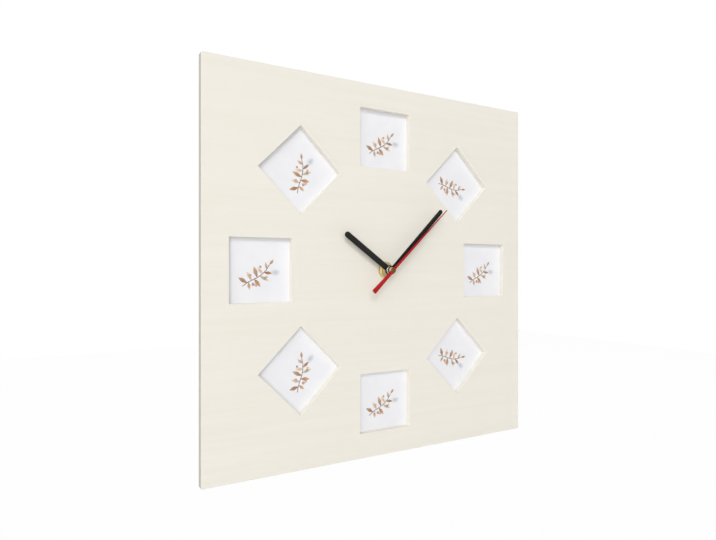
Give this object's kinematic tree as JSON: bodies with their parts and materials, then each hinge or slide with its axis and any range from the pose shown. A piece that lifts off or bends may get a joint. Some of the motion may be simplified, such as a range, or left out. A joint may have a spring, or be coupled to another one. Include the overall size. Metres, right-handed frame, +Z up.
{
  "type": "wall clock with picture frames",
  "caption": "Square plywood wall clock with a ring of recessed picture windows, plain black hour and minute hands, a red second hand and a quartz movement behind.",
  "frame": {"origin": "on the wall plane, behind the axis of the hands: the middle of the movement's rear cover", "axes": "+Z up, +X right as seen from the front, +Y into the wall"},
  "size_m": [0.3, 0.0361, 0.3],
  "materials": {
    "plywood": "sanded, unfinished",
    "photo_card": "matt",
    "hardboard": "smooth",
    "plated_steel": "zinc plated",
    "case_plastic": "fine moulded texture",
    "brass": "bright",
    "rubber": "matt",
    "hand_black": "satin",
    "hand_red": "satin",
    "cell_jacket": "gloss sleeve",
    "gear_plastic": "natural acetal",
    "circuit_board": "coated laminate",
    "coil_wire": "enamelled wire",
    "electrical_steel": "annealed"
  },
  "bodies": {
    "clock_frame": {"front_panel": "plywood", "photo_card_top": "photo_card", "backing_top": "hardboard", "photo_card_upper_right": "photo_card", "backing_upper_right": "hardboard", "photo_card_right": "photo_card", "backing_right": "hardboard", "photo_card_lower_right": "photo_card", "backing_lower_right": "hardboard", "photo_card_bottom": "photo_card", "backing_bottom": "hardboard", "photo_card_lower_left": "photo_card", "backing_lower_left": "hardboard", "photo_card_left": "photo_card", "backing_left": "hardboard", "photo_card_upper_left": "photo_card", "backing_upper_left": "hardboard", "turn_button_screws": "plated_steel", "movement_case": "case_plastic", "rear_cover": "case_plastic", "threaded_bushing": "brass", "hex_nut": "brass", "dial_washer": "brass", "rubber_washer": "rubber", "wall_hanger": "plated_steel", "battery": "cell_jacket", "positive_contact": "plated_steel", "negative_contact": "plated_steel", "circuit_board": "circuit_board", "motor_coil": "coil_wire", "stator": "electrical_steel", "bridge_plate": "gear_plastic"},
    "turn_button_top_1": {"turn_button_top_1": "plated_steel"},
    "turn_button_top_2": {"turn_button_top_2": "plated_steel"},
    "turn_button_upper_right_1": {"turn_button_upper_right_1": "plated_steel"},
    "turn_button_upper_right_2": {"turn_button_upper_right_2": "plated_steel"},
    "turn_button_right_1": {"turn_button_right_1": "plated_steel"},
    "turn_button_right_2": {"turn_button_right_2": "plated_steel"},
    "turn_button_lower_right_1": {"turn_button_lower_right_1": "plated_steel"},
    "turn_button_lower_right_2": {"turn_button_lower_right_2": "plated_steel"},
    "turn_button_bottom_1": {"turn_button_bottom_1": "plated_steel"},
    "turn_button_bottom_2": {"turn_button_bottom_2": "plated_steel"},
    "turn_button_lower_left_1": {"turn_button_lower_left_1": "plated_steel"},
    "turn_button_lower_left_2": {"turn_button_lower_left_2": "plated_steel"},
    "turn_button_left_1": {"turn_button_left_1": "plated_steel"},
    "turn_button_left_2": {"turn_button_left_2": "plated_steel"},
    "turn_button_upper_left_1": {"turn_button_upper_left_1": "plated_steel"},
    "turn_button_upper_left_2": {"turn_button_upper_left_2": "plated_steel"},
    "seconds": {"second_hand": "hand_red", "seconds_wheel": "gear_plastic"},
    "rotor": {"rotor": "gear_plastic"},
    "intermediate": {"intermediate_wheel": "gear_plastic"},
    "third": {"third_wheel": "gear_plastic"},
    "minute_train": {"minute_wheel": "gear_plastic"},
    "minutes": {"minute_hand": "hand_black", "minute_pipe": "gear_plastic"},
    "motion": {"motion_wheel": "gear_plastic"},
    "hours": {"hour_hand": "hand_black", "hour_wheel": "gear_plastic"},
    "knob": {"setting_knob": "case_plastic"}
  },
  "joints": [
    {"name": "turn_top_1", "type": "hinge", "parent": "clock_frame", "child": "turn_button_top_1", "pos_m": [-0.0327, -0.0178, 0.1066], "axis": [0, 1, 0], "range_deg": [-90, 90]},
    {"name": "turn_top_2", "type": "hinge", "parent": "clock_frame", "child": "turn_button_top_2", "pos_m": [0.0327, -0.0178, 0.1066], "axis": [0, 1, 0], "range_deg": [-90, 90]},
    {"name": "turn_upper_right_1", "type": "hinge", "parent": "clock_frame", "child": "turn_button_upper_right_1", "pos_m": [0.05226, -0.0178, 0.0985], "axis": [0, 1, 0], "range_deg": [-90, 90]},
    {"name": "turn_upper_right_2", "type": "hinge", "parent": "clock_frame", "child": "turn_button_upper_right_2", "pos_m": [0.0985, -0.0178, 0.05226], "axis": [0, 1, 0], "range_deg": [-90, 90]},
    {"name": "turn_right_1", "type": "hinge", "parent": "clock_frame", "child": "turn_button_right_1", "pos_m": [0.1066, -0.0178, 0.0327], "axis": [0, 1, 0], "range_deg": [-90, 90]},
    {"name": "turn_right_2", "type": "hinge", "parent": "clock_frame", "child": "turn_button_right_2", "pos_m": [0.1066, -0.0178, -0.0327], "axis": [0, 1, 0], "range_deg": [-90, 90]},
    {"name": "turn_lower_right_1", "type": "hinge", "parent": "clock_frame", "child": "turn_button_lower_right_1", "pos_m": [0.0985, -0.0178, -0.05226], "axis": [0, 1, 0], "range_deg": [-90, 90]},
    {"name": "turn_lower_right_2", "type": "hinge", "parent": "clock_frame", "child": "turn_button_lower_right_2", "pos_m": [0.05226, -0.0178, -0.0985], "axis": [0, 1, 0], "range_deg": [-90, 90]},
    {"name": "turn_bottom_1", "type": "hinge", "parent": "clock_frame", "child": "turn_button_bottom_1", "pos_m": [0.0327, -0.0178, -0.1066], "axis": [0, 1, 0], "range_deg": [-90, 90]},
    {"name": "turn_bottom_2", "type": "hinge", "parent": "clock_frame", "child": "turn_button_bottom_2", "pos_m": [-0.0327, -0.0178, -0.1066], "axis": [0, 1, 0], "range_deg": [-90, 90]},
    {"name": "turn_lower_left_1", "type": "hinge", "parent": "clock_frame", "child": "turn_button_lower_left_1", "pos_m": [-0.05226, -0.0178, -0.0985], "axis": [0, 1, 0], "range_deg": [-90, 90]},
    {"name": "turn_lower_left_2", "type": "hinge", "parent": "clock_frame", "child": "turn_button_lower_left_2", "pos_m": [-0.0985, -0.0178, -0.05226], "axis": [0, 1, 0], "range_deg": [-90, 90]},
    {"name": "turn_left_1", "type": "hinge", "parent": "clock_frame", "child": "turn_button_left_1", "pos_m": [-0.1066, -0.0178, -0.0327], "axis": [0, 1, 0], "range_deg": [-90, 90]},
    {"name": "turn_left_2", "type": "hinge", "parent": "clock_frame", "child": "turn_button_left_2", "pos_m": [-0.1066, -0.0178, 0.0327], "axis": [0, 1, 0], "range_deg": [-90, 90]},
    {"name": "turn_upper_left_1", "type": "hinge", "parent": "clock_frame", "child": "turn_button_upper_left_1", "pos_m": [-0.0985, -0.0178, 0.05226], "axis": [0, 1, 0], "range_deg": [-90, 90]},
    {"name": "turn_upper_left_2", "type": "hinge", "parent": "clock_frame", "child": "turn_button_upper_left_2", "pos_m": [-0.05226, -0.0178, 0.0985], "axis": [0, 1, 0], "range_deg": [-90, 90]},
    {"name": "seconds_spin", "type": "hinge", "parent": "clock_frame", "child": "seconds", "pos_m": [0, -0.008, 0], "axis": [0, 1, 0], "continuous": true},
    {"name": "rotor_spin", "type": "hinge", "parent": "clock_frame", "child": "rotor", "pos_m": [0.01862, -0.008, 0.00854], "axis": [0, 1, 0], "continuous": true},
    {"name": "intermediate_spin", "type": "hinge", "parent": "clock_frame", "child": "intermediate", "pos_m": [0.01037, -0.008, 0.00378], "axis": [0, 1, 0], "continuous": true},
    {"name": "third_spin", "type": "hinge", "parent": "clock_frame", "child": "third", "pos_m": [-0.0099, -0.008, 0.0036], "axis": [0, 1, 0], "continuous": true},
    {"name": "minute_train_spin", "type": "hinge", "parent": "clock_frame", "child": "minute_train", "pos_m": [0, -0.008, 0], "axis": [0, 1, 0], "continuous": true},
    {"name": "minutes_spin", "type": "hinge", "parent": "clock_frame", "child": "minutes", "pos_m": [0, -0.008, 0], "axis": [0, 1, 0], "continuous": true},
    {"name": "motion_spin", "type": "hinge", "parent": "clock_frame", "child": "motion", "pos_m": [-0.00167, -0.008, 0.00945], "axis": [0, 1, 0], "continuous": true},
    {"name": "hours_spin", "type": "hinge", "parent": "clock_frame", "child": "hours", "pos_m": [0, -0.008, 0], "axis": [0, 1, 0], "continuous": true},
    {"name": "knob_spin", "type": "hinge", "parent": "clock_frame", "child": "knob", "pos_m": [-0.00902, -0.008, 0.01562], "axis": [0, 1, 0], "continuous": true}
  ],
  "couplings": [
    {"joint": "rotor_spin", "follows": "seconds_spin", "ratio": 30},
    {"joint": "intermediate_spin", "follows": "seconds_spin", "ratio": -5},
    {"joint": "third_spin", "follows": "seconds_spin", "ratio": -0.13333},
    {"joint": "minute_train_spin", "follows": "seconds_spin", "ratio": 0.016667},
    {"joint": "motion_spin", "follows": "minutes_spin", "ratio": -0.33333},
    {"joint": "hours_spin", "follows": "minutes_spin", "ratio": 0.083333},
    {"joint": "knob_spin", "follows": "minutes_spin", "ratio": 1}
  ]
}
